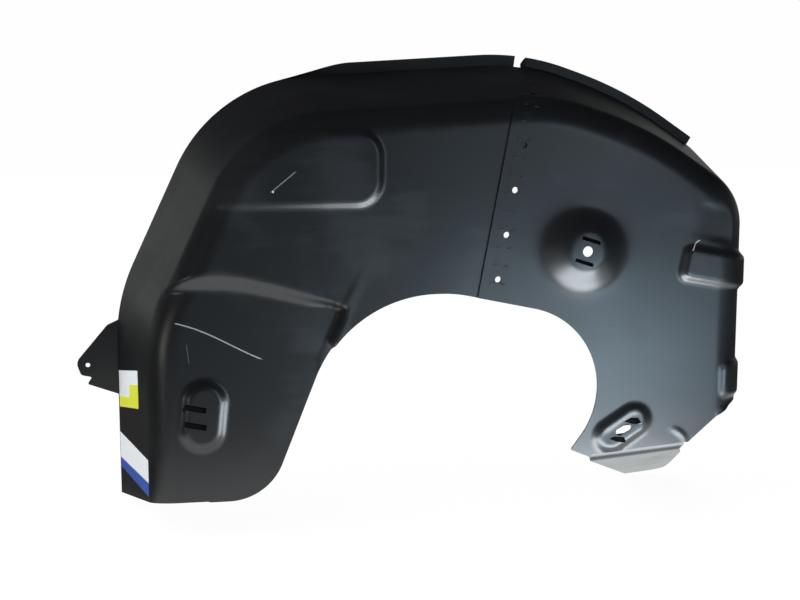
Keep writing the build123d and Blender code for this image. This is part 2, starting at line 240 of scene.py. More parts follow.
print("an ease at a quarter and a half", ease(np.array([0.25, 0.5])))

# %% [markdown]
# ## The front half
# Its wall has a raised pad that runs out to the front, and a soft band below which the foot is set back,
# with an oval boss and a low crease beside the cut-out. Sculpting gives such soft forms too, but not to
# measure, so all of it is one displacement of the formed sheet.

# %% Shape of the front half
WAVE_HEIGHT, FRONT_WAVE = 0.4, 95
FOOT_DROP = 12.0
BAND_TOP = [(-900, 90), (-372, 124), (-342, 144), (-319, 153), (-288, 157), (-254, 152), (-216, 142),
            (-180, 130)]
BAND_RADII = [0, 60] + [100] * 5 + [0]
BAND = Sizes(start=0.1, places=(-345, -290, -216, -180, -155), widths=(14, 27, 23, 18, 9))
RIDGE = np.array([(-165, 52), (-155, 70), (-143, 95), (-138, 113), (-123, 141), (-113, 162)], float)
RIDGE_FOOT = np.array([(-128, 52), (-128, 97), (-116, 121), (-104, 157), (-108, 171)], float)
CREASE = Sizes(rise=0.5, step=5, top=168, fade=45)
PAST_SHEET = [(-120, 30), (-60, -20), (-60, -900), (-900, -900)]
SET_BACK = np.vstack([rounded_line(BAND_TOP, BAND_RADII), RIDGE[3:0:-1] + [CREASE.step, 0], PAST_SHEET])
PAD = Sizes(low=(-345, 230), high=(-88, 327), corner=34, rise=6, slope=9)
FOOT_BOSS = Sizes(middle=(-306, -16), size=(92, 58), turn=84, rise=7, slope=12)


def crease_height(wall):
    """A low crease beside the cut-out: steep to the front of its ridge, easing out to the rear."""
    x, y = wall.T
    ridge = np.interp(y, RIDGE[:, 1], RIDGE[:, 0])
    foot = np.interp(y, RIDGE_FOOT[:, 1], RIDGE_FOOT[:, 0])
    rear = ease(1 - (x - ridge) / np.maximum(foot - ridge, 1))
    front = ease(1 + (x - ridge) / CREASE.step)
    return CREASE.rise * np.where(x < ridge, front, rear) * ease((CREASE.top - y) / CREASE.fade)


def pad_height(wall):
    """A rectangle with round corners, whose height runs out evenly to the front."""
    run_out = np.clip((wall[:, 0] - PAD.low[0]) / (PAD.high[0] - PAD.low[0]), 0, 1)
    return PAD.rise * run_out * ease(-from_box(wall, PAD) / PAD.slope)


def front_shape(flat):
    """The formed sheet, set back at its foot, then moved out by pad, boss, crease and ripples."""
    points, normals, out, bend, flank = formed(flat)
    wall = points[:, :2]
    pad = pad_height(wall)
    boss = FOOT_BOSS.rise * ease(-from_oval(wall, FOOT_BOSS) / FOOT_BOSS.slope)
    width = np.interp(wall[:, 0], BAND.places, BAND.widths)
    back = FOOT_DROP * ease(BAND.start - from_polygon(wall, SET_BACK) / width) * (1 - flank)
    points[:, :2] += out * (back * bend * tan(DRAFT))[:, None]
    points[:, 2] += back
    lift = boss + crease_height(wall) + (pad + waves(wall, FRONT_WAVE, WAVE_HEIGHT)) * (1 - bend)
    return points + normals * lift[:, None]


print("the front foot is set back", FOOT_DROP, "mm, and the pad stands out", PAD.rise, "mm")

# %% [markdown]
# ## The rear half
# It laps over the front half, so its outer face stands one sheet and a small gap further out. A round
# dish carries the main fixing. A block, a recess and two pads run round its edge, and a tilted oval boss
# fills its foot. Each has its own height function, so one can be changed without the others.

# %% Shape of the rear half
LAP_OUTER = SHEET + LAP_GAP
REAR_WAVE = 110
CONE = Sizes(flat=23.0, slope=tan(radians(33)), soft_foot=5, soft_rim=2.5)
BLOCK = Sizes(place=(278, 136), turn=-11, low=(-2, -2), high=(250, 49), corner=14, deep=120, rise=7, slope=11)
RECESS = Sizes(low=(-20, 50), high=(300, 104), corner=10, slope=12, run=60, deep=5)
EDGE_PADS = [Sizes(low=(336, -18), high=(600, 32), corner=12),
             Sizes(low=(334, -58), high=(600, -26), corner=12)]
EDGE_PAD = Sizes(deep=90, rise=4, start=0.1, slope=9)
REAR_BOSS = Sizes(middle=(211, -50), size=(84, 50), turn=33, rise=7.2, slope=16, steeper=4.5, blend=30)
BOSS_DIP = Sizes(deep=2.6, rim=6, slope=12)
RIB = Sizes(centre=(266, -85), radius=34, half=1, slope=3, rise=1.5, x=286, reach=16)
CALM = Sizes(x=184, y=-90, slope=0.087, run=40, dish=25, dish_run=30)


def dish_height(reach):
    """A cone with a flat top, soft at its foot and rim, by the distance from its middle."""
    cone = (CONE.flat + DISH_RISE / CONE.slope - reach) * CONE.slope
    return DISH_RISE - soft_top(DISH_RISE - soft_top(cone, 0, CONE.soft_foot), 0, CONE.soft_rim)


def block_height(block, depth):
    """A turned rectangle that runs round the sheet's edge down to a depth."""
    outside = np.maximum(from_box(block, BLOCK), depth - BLOCK.deep)
    return BLOCK.rise * ease(-outside / BLOCK.slope)


def edge_pad_height(wall, depth):
    """Small pads round the sheet's edge, each a rectangle on the wall and down to a depth."""
    outside = [np.maximum(from_box(wall, pad), depth - EDGE_PAD.deep) for pad in EDGE_PADS]
    return EDGE_PAD.rise * sum(ease(EDGE_PAD.start - each / EDGE_PAD.slope) for each in outside)


def rear_boss_height(wall):
    """A tilted oval, steeper on its upper side, where its face dips behind a rim."""
    inside = -from_oval(wall, REAR_BOSS)
    upper = ease(0.5 + turned(wall, REAR_BOSS.middle, REAR_BOSS.turn)[:, 1] / REAR_BOSS.blend)
    rise = ease(inside / (REAR_BOSS.slope - REAR_BOSS.steeper * upper))
    return REAR_BOSS.rise * rise - BOSS_DIP.deep * upper * ease((inside - BOSS_DIP.rim) / BOSS_DIP.slope)


def rib_height(wall):
    """A short rib along an arc, running out at both ends."""
    off_arc = np.abs(norm(wall - RIB.centre, axis=1) - RIB.radius) - RIB.half
    ends = ease(1 - np.abs(wall[:, 0] - RIB.x) / RIB.reach)
    return RIB.rise * ease(1 - off_arc / RIB.slope) * ends


def rear_shape(flat):
    """The formed sheet moved out over the lap, with dish, block, recess, pads, boss and rib."""
    points, normals, _, bend, _ = formed(flat)
    wall, depth = points[:, :2].copy(), points[:, 2].copy()
    reach = norm(wall - DISH, axis=1)
    block = turned(wall, BLOCK.place, BLOCK.turn)
    lift = LAP_OUTER + dish_height(reach) + block_height(block, depth) + edge_pad_height(wall, depth)
    lift += rear_boss_height(wall) + rib_height(wall)
    loose = ease((wall[:, 1] - CALM.y - CALM.slope * (wall[:, 0] - CALM.x)) / CALM.run) * (1 - bend)
    loose *= ease((reach - CALM.dish) / CALM.dish_run)
    lift += waves(wall, REAR_WAVE, WAVE_HEIGHT) * loose
    recess = ease(-from_box(block, RECESS) / RECESS.slope) * ease(block[:, 0] / RECESS.run)
    points[:, 2] += recess * np.clip(RECESS.deep - depth, 0, RECESS.deep)
    return points + normals * lift[:, None]


print("the rear half stands", round(LAP_OUTER, 2), "mm over the front half, its dish", DISH_RISE, "mm more")

# %% [markdown]
# ## Trimmed edges on a grid
# A sheet is formed large and then trimmed. So we take a square grid in the flat plan, and edges given as
# functions that are positive where plastic stays. Points within half a step of an edge slide onto it, which
# gives a cleaner line than a Boolean on so thin a sheet. Round holes become rings of faces.

# %% Grid, trimming and holes
STEP = 2.8
PROBE, SLIDES, FLATTEST = 0.01, 5, 1e-6
SNAP, ON_EDGE, SLIVER = 0.499 * STEP, 0.2, 0.05 * STEP * STEP
RING_SHARES = (0.55, 0.2, 0)


def slide_to(flat, edge):
    """Moves the points near an edge onto it, by its slope, and returns the edge's value for all."""
    value = edge(flat)
    slope = np.column_stack([edge(flat + [PROBE, 0]) - value, edge(flat + [0, PROBE]) - value]) / PROBE
    steep = np.maximum((slope ** 2).sum(axis=1), FLATTEST)
    near = np.abs(value) / np.sqrt(steep) < SNAP
    for _ in range(SLIDES):
        flat[near] -= (value / steep)[near][:, None] * slope[near]
        value[near] = edge(flat[near])
    value[near & (np.abs(value) < ON_EDGE)] = 0
    return value


def wide_enough(flat, faces):
    """The faces that aren't slivers along a trimmed edge, by their area in the plan."""
    x, y = np.moveaxis(flat[faces], 2, 0)
    area = np.abs((x * np.roll(y, -1, axis=1) - np.roll(x, -1, axis=1) * y).sum(axis=1)) / 2
    return faces[area > SLIVER]


def grid_cells(rows, wide):
    """Quads of a grid of points, as rows of a given number of points."""
    first = (np.arange(rows - 1)[:, None] * wide + np.arange(wide - 1)).ravel()
    return np.column_stack([first, first + 1, first + 1 + wide, first + wide])


def hole_rings(flat, border, middle, radius, start):
    """Rings of points and faces from a block's border in to a round hole, by shares of the way."""
    ray = flat[border] - middle
    long = norm(ray, axis=1)
    ways = ray / long[:, None]
    rings = [middle + ways * (radius + (long - radius) * share)[:, None] for share in RING_SHARES]
    layers = [border] + [start + k * len(border) + np.arange(len(border)) for k in range(len(rings))]
    faces = [np.column_stack([a, np.roll(a, -1), np.roll(b, -1), b]) for a, b in zip(layers, layers[1:])]
    return np.vstack(rings), np.vstack(faces)


def trimmed_grid(low, high, edges, holes):
    """Flat points, quads and triangles of a sheet between two corners, trimmed by edges, with holes.
    A hole is its middle, its radius and half the size of its block."""
    us, vs = (np.arange(a, b, STEP) for a, b in zip(low, high))
    wide = len(us)
    flat = np.array(np.meshgrid(us, vs)).reshape(2, -1).T.copy()
    keep = np.ones(len(flat), bool)
    on_edge = np.zeros(len(flat), bool)
    for edge in edges:
        value = slide_to(flat, edge)
        on_edge |= value == 0
        keep &= value >= 0
    cells = grid_cells(len(vs), wide)
    rows, cols = np.divmod(cells[:, 0], wide)
    whole = np.ones(len(cells), bool)
    rings, ring_faces = [], []
    for middle, radius, half in holes:
        (i0, j0), (i1, j1) = (np.rint((middle + reach - low) / STEP).astype(int).tolist()
                              for reach in (-half, half))
        whole &= (cols < i0) | (cols >= i1) | (rows < j0) | (rows >= j1)
        i = np.r_[i0:i1, [i1] * (j1 - j0), i1:i0:-1, [i0] * (j1 - j0)]
        j = np.r_[[j0] * (i1 - i0), j0:j1, [j1] * (i1 - i0), j1:j0:-1]
        start = len(flat) + sum(map(len, rings))
        ring_points, faces = hole_rings(flat, j * wide + i, middle, radius, start)
        rings.append(ring_points)
        ring_faces.append(faces)
    cells = cells[whole]
    stays = keep[cells]
    quads = cells[stays.all(axis=1)]
    cut_cells = cells[stays.sum(axis=1) == 3]
    lost = np.argmin(keep[cut_cells], axis=1)
    triangles = np.take_along_axis(cut_cells, (lost[:, None] + [1, 2, 3]) % 4, axis=1)
    triangles = triangles[on_edge[triangles[:, 0]] & on_edge[triangles[:, 2]]]
    faces = np.vstack([wide_enough(flat, quads)] + ring_faces)
    return np.vstack([flat] + rings), faces, wide_enough(flat, triangles)


print("the grid's step is", STEP, "mm")

# %% [markdown]
# ## From grid to sheet
# Each point gets a partner one sheet thickness inside, along the surface's own direction, and a rim closes
# the open edges. A Solidify modifier does the same, but the slots are cut through both faces next, so the
# sheet is closed here.

# %% Sheets with thickness
SHARP = radians(38)


def read(items, name, width=1, kind=float):
    """One value of every item of a mesh, as an array."""
    values = np.zeros(len(items) * width, kind)
    items.foreach_get(name, values)
    return values


def new_object(name, data):
    """An object in the scene."""
    made = bpy.data.objects.new(name, data)
    bpy.context.collection.objects.link(made)
    return made


def pieces_mesh(name, parts):
    """One mesh from parts, each an array of points and a list of face arrays."""
    points, faces, start = [], [], 0
    for part_points, part_faces in parts:
        points.append(part_points)
        for block in part_faces:
            faces += (block + start).tolist()
        start += len(part_points)
    mesh = bpy.data.meshes.new(name)
    mesh.from_pydata(np.vstack(points).tolist(), [], faces)
    return mesh


def thickened(points, quads, triangles, thickness):
    """A closed sheet: outer faces, inner faces one thickness behind them, and a rim."""
    used = np.unique(np.concatenate([quads.ravel(), triangles.ravel()]))
    index = np.full(len(points), -1)
    index[used] = np.arange(len(used))
    points, quads, triangles = points[used], index[quads], index[triangles].reshape(-1, 3)
    mesh = pieces_mesh("outer", [(points, [quads, triangles])])
    normals = read(mesh.vertex_normals, "vector", 3).reshape(-1, 3)
    bpy.data.meshes.remove(mesh)
    inner = points - normals * thickness / 1000
    sides = np.vstack([np.column_stack([face[:, k], np.roll(face, -1, axis=1)[:, k]])
                       for face in (quads, triangles) for k in range(face.shape[1])])
    count = len(points)
    _, first, times = np.unique(np.sort(sides, axis=1) @ [count, 1], return_index=True, return_counts=True)
    a, b = sides[first[times == 1]].T
    rim = np.column_stack([b, a, a + count, b + count])
    faces = [quads, triangles, quads[:, ::-1] + count, triangles[:, ::-1] + count, rim]
    return np.vstack([points, inner]), faces


def finished(name, parts, node):
    """The object of a piece that stands for a CAD node, smooth but for its sharp edges."""
    mesh = pieces_mesh(name, parts)
    mesh.validate()
    mesh.polygons.foreach_set("use_smooth", np.ones(len(mesh.polygons), bool))
    mesh.set_sharp_from_angle(angle=SHARP)
    piece = new_object(name, mesh)
    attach(piece, "root")
    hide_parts(node)
    print(name, "has", sum(len(face.vertices) - 2 for face in mesh.polygons), "triangles")
    return piece


# %% [markdown]
# ## Cut-out, seam and foot
# The cut-out clears strut and axle. The seam leans on the wall and drifts to the rear on the roof, so it
# is a plane through the formed sheet, and each half stops at its own side of the lap. Most edges are
# measured on the formed sheet, where a trimming saw would run.

# %% Edges of the halves
CUT_OUT = rounded_line([(-300, -123), (-230, -123), (-131, 126), (-2, 126), (251, 72), (145, -74), (171, -85),
                        (171, -420), (-300, -420)], [0, 70, 158, 150, 103, 0, 0, 0, 0])
CUT_OUT_DEEP, UNCUT, EDGE_TRIM = 60, 1e3, 1.3
SEAM_FOOT, SEAM_LEAN, SEAM_DRIFT, LAP = np.array([26.0, 120.0, 0.0]), radians(10.5), 50.0, 40.0
seam_across = np.cross([SEAM_DRIFT, 0, -DEPTH], [sin(SEAM_LEAN), cos(SEAM_LEAN), 0])
seam_across /= norm(seam_across)
FRONT_FOOT_Y, FRONT_PITCH = -122, tan(radians(11))
REAR_FOOT, FOOT_RISE = np.array([184.0, -86.0]), radians(5)
UNDER_PITCH, UNDER_R = radians(23.5), 9.0
UNDER_BEND = pi / 2 - UNDER_PITCH
UNDER_START = UNDER_R * tan(UNDER_BEND / 2)
FLAP_FROM = Sizes(x=168, run=4, wall=0.5)
CORNER = np.array([(292, -76, 0), (354, -22, 0), (345, -147, 150)], float)
CORNER_STEEPER = 0.22
corner_way = np.cross(CORNER[1] - CORNER[0], CORNER[2] - CORNER[0])
corner_way /= norm(corner_way) * np.sign(corner_way[0])
CORNER_ROOM = Sizes(centre=(329, -88), radius=76.5)


def off_cut_out(points):
    """Distance from the cut-out, for points on or near the wall."""
    value = np.full(len(points), UNCUT)
    close = points[:, 2] < CUT_OUT_DEEP
    value[close] = from_polygon(points[close, :2], CUT_OUT)
    return value


def past_seam(points):
    """Distance behind the seam's plane."""
    return (points * [1, 1, -1] - SEAM_FOOT) @ seam_across


def before_wing(flat):
    """Distance left to the wing edge, less a hair."""
    return FLAT_END - EDGE_TRIM - past_bend(flat)[0]


def over_foot(points):
    """Distance above the rear foot's line, measured on the wall."""
    rel = points[:, :2] - REAR_FOOT
    return rel[:, 1] * cos(FOOT_RISE) - rel[:, 0] * sin(FOOT_RISE)


def over_flap(flat):
    """Distance above the line where the rear sheet turns into its flap, past the start of the bend."""
    points = formed(flat)[0]
    on_wall = (points[:, 2] < FLAP_FROM.wall) * ease((flat[:, 0] - FLAP_FROM.x) / FLAP_FROM.run)
    return over_foot(points) + points[:, 2] * tan(UNDER_PITCH) - UNDER_START * on_wall


def before_corner(points, steeper=0.0):
    """Distance inside the plane that trims the corner of the rear foot and flank."""
    return (CORNER[0] - points) @ corner_way - steeper * points[:, 2]


def corner_room(points):
    """Distance inside the rounded far corner under the rear foot."""
    rel = np.maximum((points[:, :2] - CORNER_ROOM.centre) * [1, -1], 0)
    return CORNER_ROOM.radius - norm(rel, axis=1)


front_edges = [before_wing,
               lambda flat: LAP - past_seam(front_shape(flat)),
               lambda flat: (front_shape(flat) - [0, FRONT_FOOT_Y, FOOT_DROP]) @ [0, 1, FRONT_PITCH],
               lambda flat: off_cut_out(formed(flat)[0])]
rear_edges = [before_wing,
              lambda flat: past_seam(rear_shape(flat)),
              over_flap,
              lambda flat: corner_room(formed(flat)[0]),
              lambda flat: before_corner(formed(flat)[0], CORNER_STEEPER),
              lambda flat: off_cut_out(formed(flat)[0])]
print("the cut-out's outline has", len(CUT_OUT), "points")

# %% [markdown]
# ## Holes, slots and tongues
# The seam holes go through both sheets, all but one, which the front sheet closes from behind. They are
# rings in the grid. Slots and larger holes are punched straight through, so an exact Boolean cuts them.
# Behind each slot stands the tongue that was pressed in.

# %% Holes and slots
SEAM_HOLES = ((50.3, 142, 0), (60.3, 196, 0), (70.3, 250, 0), (80.3, 304, 0), (100.8, 361.3, 36.0))
CLOSED_HOLE, HOLE_R, HOLE_BLOCK = 3, 4.0, 9.8
FOOT_SLOT = Sizes(middle=(-316, -16), apart=10.5, size=(26, 7), turn=-12)
DISH_SLOT = Sizes(apart=14, size=(24, 4.5), turn=-18)
BOSS_SLOTS = np.array(REAR_BOSS.middle) + [[(11.5, 7), (24, 6), (18.5, 14.5), (9.5, 15), (1, 10.5)],
                                           [(-9, -14.5), (4, -16.5), (0.5, -9), (-12, -8), (-18.5, -10.5)]]
DISH_HOLE, BOSS_HOLE, BOSS_HOLE_TURN = (13.02, 13), (21, 9), 27
CUT_REACH = 40.0
TONGUE = Sizes(rows=7, wide=13, wider=3, taller=5, gap=0.2, lean=7, thick=1.0)
BOSS_TONGUE, BOSS_TONGUE_TURN = (19, 4), 5
NO_TRIANGLES = np.zeros((0, 3), int)


def slot(middle, size, angle):
    """Corners of a turned rectangle."""
    box = np.array([(-1, -1), (1, -1), (1, 1), (-1, 1)]) * np.asarray(size) / 2
    return np.asarray(middle, float) + turned(box, (0, 0), -angle)


def oval(middle, size, angle, count=28):
    """Points round a slot-shaped oval."""
    turn = np.linspace(0, 2 * pi, count, endpoint=False)
    ring = size[1] / 2 * np.column_stack([np.cos(turn), np.sin(turn)])
    ring[:, 0] += np.sign(np.cos(turn)) * (size[0] - size[1]) / 2
    return np.asarray(middle, float) + turned(ring, (0, 0), -angle)


def mesh_arrays(mesh):
    """A mesh's points, and its faces grouped by their number of corners."""
    around = read(mesh.loops, "vertex_index", kind=int)
    starts, totals = (read(mesh.polygons, name, kind=int) for name in ("loop_start", "loop_total"))
    faces = [around[starts[totals == total][:, None] + np.arange(total)] for total in np.unique(totals)]
    return read(mesh.vertices, "co", 3).reshape(-1, 3), faces


def prism(outline):
    """A straight cutter through the wall: the outline at two depths, with sides between."""
    count = len(outline)
    ring = np.arange(count)
    ends = [np.column_stack([outline, np.full(count, depth)]) for depth in (-CUT_REACH, CUT_REACH)]
    sides = np.column_stack([ring, np.roll(ring, -1), np.roll(ring, -1) + count, ring + count])
    return placed(np.vstack(ends)), [sides[:, ::-1], ring[None, :], ring[None, ::-1] + count]


def cut_through(part, outlines):
    """A closed part with prisms of the given outlines taken out of it, by an exact Boolean."""
    whole = new_object("sheet", pieces_mesh("sheet", [part]))
    cutter = new_object("cutter", pieces_mesh("cutter", [prism(outline) for outline in outlines]))
    cut = whole.modifiers.new("cut", "BOOLEAN")
    cut.operation, cut.solver, cut.object = "DIFFERENCE", "EXACT", cutter
    result = whole.evaluated_get(bpy.context.evaluated_depsgraph_get())
    arrays = mesh_arrays(bpy.data.meshes.new_from_object(result))
    bpy.data.objects.remove(whole)
    bpy.data.objects.remove(cutter)
    return arrays


def tongue(shape, middle, size, angle):
    """A tongue left behind a slot: it starts at the slot's lower side and leans in as it rises."""
    s, t = np.meshgrid(np.linspace(-0.5, 0.5, TONGUE.wide), np.linspace(0, 1, TONGUE.rows))
    local = np.column_stack([s.ravel() * (size[0] + TONGUE.wider),
                             (t.ravel() - 0.5) * (size[1] + TONGUE.taller)])
    flat = np.asarray(middle, float) + turned(local, (0, 0), -angle)
    depth = shape(np.array([middle], float))[0, 2] + SHEET + TONGUE.gap + TONGUE.lean * t.ravel()
    cells = grid_cells(TONGUE.rows, TONGUE.wide)
    return thickened(placed(np.column_stack([flat, depth])), cells, NO_TRIANGLES, TONGUE.thick)


def sheet(shape, plan, edges, holes, cuts):
    """A trimmed grid, shaped, given its thickness and cut through by straight outlines."""
    flat, quads, triangles = trimmed_grid(*plan, edges, holes)
    return cut_through(thickened(placed(shape(flat)), quads, triangles, SHEET), cuts)


round_holes = [(flattened(*place), HOLE_R, HOLE_BLOCK) for place in SEAM_HOLES]
foot_slots = [(np.add(FOOT_SLOT.middle, (0, side * FOOT_SLOT.apart)), FOOT_SLOT.size, FOOT_SLOT.turn)
              for side in (-1, 1)]
slot_across = DISH_SLOT.apart * np.array([-sin(radians(DISH_SLOT.turn)), cos(radians(DISH_SLOT.turn))])
dish_slots = [(DISH + side * slot_across, DISH_SLOT.size, DISH_SLOT.turn) for side in (-1, 1)]
print(len(round_holes), "seam holes,", len(foot_slots) + len(dish_slots) + len(BOSS_SLOTS), "slots")

# %% [markdown]
# ## Lip, ear and front half
# Along the wing edge the sheet ends in a narrow lip, and a flat ear with a hole sticks out of the front
# flank. The lip is a flat bar carried along the edge. The ear is an outline with a hole, which a filled
# curve turns into faces by itself.

# %% Make the front half
FRONT_PLAN = (-566, -178), (186, 566)
ROOF_LOW, LINE_STEP, LIP_POINTS = 200, 2.0, 90
FRONT_LIP = Sizes(start=-190, end=117, inset=2, root=2, width=13.7, rise_from=-190, run=90, far=DEPTH, lean=2)
EAR_LINE = rounded_line([(-398, 20), (-398, 76), (-420, 66), (-460.9, 18), (-455, 1), (-441, -2), (-447, -11),
                         (-398, -29)], [0, 0, 12, 12, 6, 1.5, 1.5, 0], 1.0)[1:]
EAR_HOLE, EAR_HOLE_SIZE = (-446, 14), (6, 6)


def lip(area):
    """A flat bar along the wing edge over the roof: four corners a point, out from the edge by a width
    that rises, one sheet thick, its outer side leaning along the depth."""
    roof = rounded_line(WING_EDGE, WING_RADII, LINE_STEP)
    roof = roof[roof[:, 1] > ROOF_LOW]
    places = np.linspace(area.start, area.end, LIP_POINTS)
    line = np.column_stack([np.interp(places, roof[:, 0], roof[:, k]) for k in (0, 1)])
    way = np.gradient(line, axis=0)
    way /= norm(way, axis=1)[:, None]
    outs = np.column_stack([-way[:, 1], way[:, 0]])
    inner = line - outs * area.inset
    outer = inner + outs * (area.root + area.width * ease((line[:, 0] - area.rise_from) / area.run))[:, None]
    near, far = area.far - SHEET, area.far
    corners = [np.column_stack([ring, np.full(LIP_POINTS, depth)]) for ring, depth in
               ((inner, near), (outer, near - area.lean), (outer, far - area.lean), (inner, far))]
    base = np.arange(LIP_POINTS - 1)[:, None] * 4
    sides = np.vstack([base + [k, (k + 1) % 4, (k + 1) % 4 + 4, k + 4] for k in range(4)])
    ends = np.array([[3, 2, 1, 0], [0, 1, 2, 3] + np.full(4, (LIP_POINTS - 1) * 4)])
    return placed(np.stack(corners, axis=1).reshape(-1, 3)), [sides[:, ::-1], ends[:, ::-1]]


def plate(*rings):
    """A flat plate at the wing edge, one sheet thick: an outline and a hole, filled by a flat curve."""
    curve = bpy.data.curves.new("plate", "CURVE")
    curve.dimensions, curve.fill_mode, curve.extrude = "2D", "BOTH", SHEET / 2
    for ring in rings:
        spline = curve.splines.new("POLY")
        spline.points.add(len(ring) - 1)
        level = np.tile([0, 1], (len(ring), 1))
        spline.points.foreach_set("co", np.column_stack([ring, level]).ravel())
        spline.use_cyclic_u = True
    holder = bpy.data.objects.new("plate", curve)
    points, faces = mesh_arrays(bpy.data.meshes.new_from_object(holder))
    points[:, 2] = DEPTH - SHEET / 2 - points[:, 2]
    bpy.data.objects.remove(holder)
    bpy.data.curves.remove(curve)
    return placed(points), faces


front_holes = [hole for k, hole in enumerate(round_holes) if k != CLOSED_HOLE]
front_sheet = sheet(front_shape, FRONT_PLAN, front_edges, front_holes, [slot(*each) for each in foot_slots])
ear = plate(EAR_LINE, oval(EAR_HOLE, EAR_HOLE_SIZE, 0, 24))
front_tongues = [tongue(front_shape, *each) for each in foot_slots]
front_half = finished("front_sheet", [front_sheet, lip(FRONT_LIP), ear] + front_tongues, "front_half")

# %% [markdown]
# ## Flap and rear half
# Under the rear foot the sheet turns back to the wing side over a small rounding. The arch's plan can't
# hold a second bend, so this flap has its own: along the foot's line, and round the bend from the wall.

# %% Make the rear half
REAR_PLAN, FLAP_PLAN = ((20, -190), (566, 566)), ((-30, 0), (235, 240))
FLAP = Sizes(front=171, front_slant=0.574, rear=294, rear_slant=0.25, far_room=2.8, far_share=0.3, soft=12)
REAR_LIP = Sizes(start=126, end=358, inset=0, root=2.9, width=10.8, rise_from=124, run=8, far=DEPTH - 2,
                 lean=-2)


def under_shape(flat):
    """A flat run along the foot's line, bent back under it: wall, small rounding, slope."""
    along, past = flat.T
    turn = np.clip(past / UNDER_R, 0, UNDER_BEND)
    down = np.clip(past - UNDER_R * UNDER_BEND, 0, None)
    drop = np.minimum(past, 0) + UNDER_R * np.sin(turn) + down * cos(UNDER_BEND) - UNDER_START
    depth = UNDER_R * (1 - np.cos(turn)) + down * sin(UNDER_BEND)
    way, below = np.array([cos(FOOT_RISE), sin(FOOT_RISE)]), np.array([sin(FOOT_RISE), -cos(FOOT_RISE)])
    wall = REAR_FOOT + along[:, None] * way + drop[:, None] * below
    normals = np.column_stack([below * np.sin(turn)[:, None], -np.cos(turn)])
    return np.column_stack([wall, depth]) + normals * LAP_OUTER


def under_room(flat):
    """Distance inside the flap's own edges: slanted front and rear, rounded to the far edge."""
    points = under_shape(flat)
    front = points[:, 0] - FLAP.front - points[:, 2] * FLAP.front_slant
    rear = FLAP.rear + points[:, 2] * FLAP.rear_slant - points[:, 0]
    far = (DEPTH - FLAP.far_room - points[:, 2]) * FLAP.far_share
    return np.minimum(np.minimum(front, before_corner(points)), -soft_top(-rear, -far, FLAP.soft))


flap_edges = [lambda flat: off_cut_out(under_shape(flat)), under_room]
flap_flat, flap_quads, flap_triangles = trimmed_grid(*FLAP_PLAN, flap_edges, [])
flap = thickened(placed(under_shape(flap_flat)), flap_quads[:, ::-1], flap_triangles[:, ::-1], SHEET)
rear_cuts = [slot(*each) for each in dish_slots]
rear_cuts += [oval(DISH, DISH_HOLE, 0), oval(REAR_BOSS.middle, BOSS_HOLE, BOSS_HOLE_TURN), *BOSS_SLOTS]
rear_sheet = sheet(rear_shape, REAR_PLAN, rear_edges, round_holes, rear_cuts)
rear_tongues = [tongue(rear_shape, *each) for each in dish_slots]
rear_tongues += [tongue(rear_shape, corners.mean(axis=0), BOSS_TONGUE, BOSS_TONGUE_TURN)
                 for corners in BOSS_SLOTS]
rear_half = finished("rear_sheet", [rear_sheet, flap, lip(REAR_LIP)] + rear_tongues, "rear_half")

# %% [markdown]
# ## Labels
# Two paper labels lie on the front flank, printed with plain fields of colour. A Shrinkwrap modifier could
# lay them on. Each is instead a patch of the same formed surface, a hair above it, with its own flat map.

# %% Make the labels
PAPER, PAPER_LIFT = 0.28, 0.3
LABEL_ROWS, LABEL_WIDE = 25, 49
UPPER_LABEL = Sizes(depths=(77, 192), heights=(-31, 17), tilt=radians(-10))
LOWER_LABEL = Sizes(depths=(29, 195), heights=(-121, -75), tilt=0)


def label(name, node, area):
    """A patch of the front flank between two depths and heights, tilted."""
    s, t = np.meshgrid(np.linspace(0, 1, LABEL_WIDE), np.linspace(0, 1, LABEL_ROWS))
    s, t = s.ravel(), t.ravel()
    depth = np.interp(s, (0, 1), area.depths)
    height = np.interp(t, (0, 1), area.heights) + (depth - np.mean(area.depths)) * tan(area.tilt)
    down = (depth - ROUNDING * (1 - cos(BEND))) / sin(BEND)
    flat = np.column_stack([WING_EDGE[0, 0] + WALL_INSET - ROUNDING * BEND - down, height])
    points = front_shape(flat) + formed(flat)[1] * PAPER_LIFT
    cells = grid_cells(LABEL_ROWS, LABEL_WIDE)[:, [0, 3, 2, 1]]
    piece = finished(name, [thickened(placed(points), cells, NO_TRIANGLES, PAPER)], node)
    both_faces = np.tile(np.column_stack([s, t]), (2, 1))
    where = read(piece.data.loops, "vertex_index", kind=int)
    piece.data.uv_layers.new(name="paper").data.foreach_set("uv", both_faces[where].ravel())
    return piece


upper_label = label("upper_paper_label", "upper_label", UPPER_LABEL)
lower_label = label("lower_paper_label", "lower_label", LOWER_LABEL)

# %% [markdown]
# ## Writing shader maths
# A finish is a graph of nodes, which is slow to place by hand and hard to read as a list of links. So a
# Wire is one output socket, and Python's operators on it add Math nodes: a mask then reads like a formula.


# %% Shader helper
def maths(operation, swapped=False):
    """A method that adds a Math node of a wire and another value, or of the two swapped."""
    def method(wire, *other):
        values = (*other, wire) if swapped else (wire, *other)
        return wire.finish.node("ShaderNodeMath", {"operation": operation}, dict(enumerate(values)))
    return method


class Wire:
    """A value in a material, whose operators add Math nodes."""

    def __init__(self, finish, socket):
        self.finish, self.socket = finish, socket

    __add__ = __radd__ = maths("ADD")
    __mul__ = __rmul__ = maths("MULTIPLY")
    __sub__, __rsub__ = maths("SUBTRACT"), maths("SUBTRACT", swapped=True)
    __truediv__, __abs__, larger = maths("DIVIDE"), maths("ABSOLUTE"), maths("MAXIMUM")

    def step(self, low, high):
        """Eases from 0 to 1 between two values."""
        return self.finish.node("ShaderNodeMapRange", {"interpolation_type": "SMOOTHSTEP"},
                                {"Value": self, "From Min": low, "From Max": high})


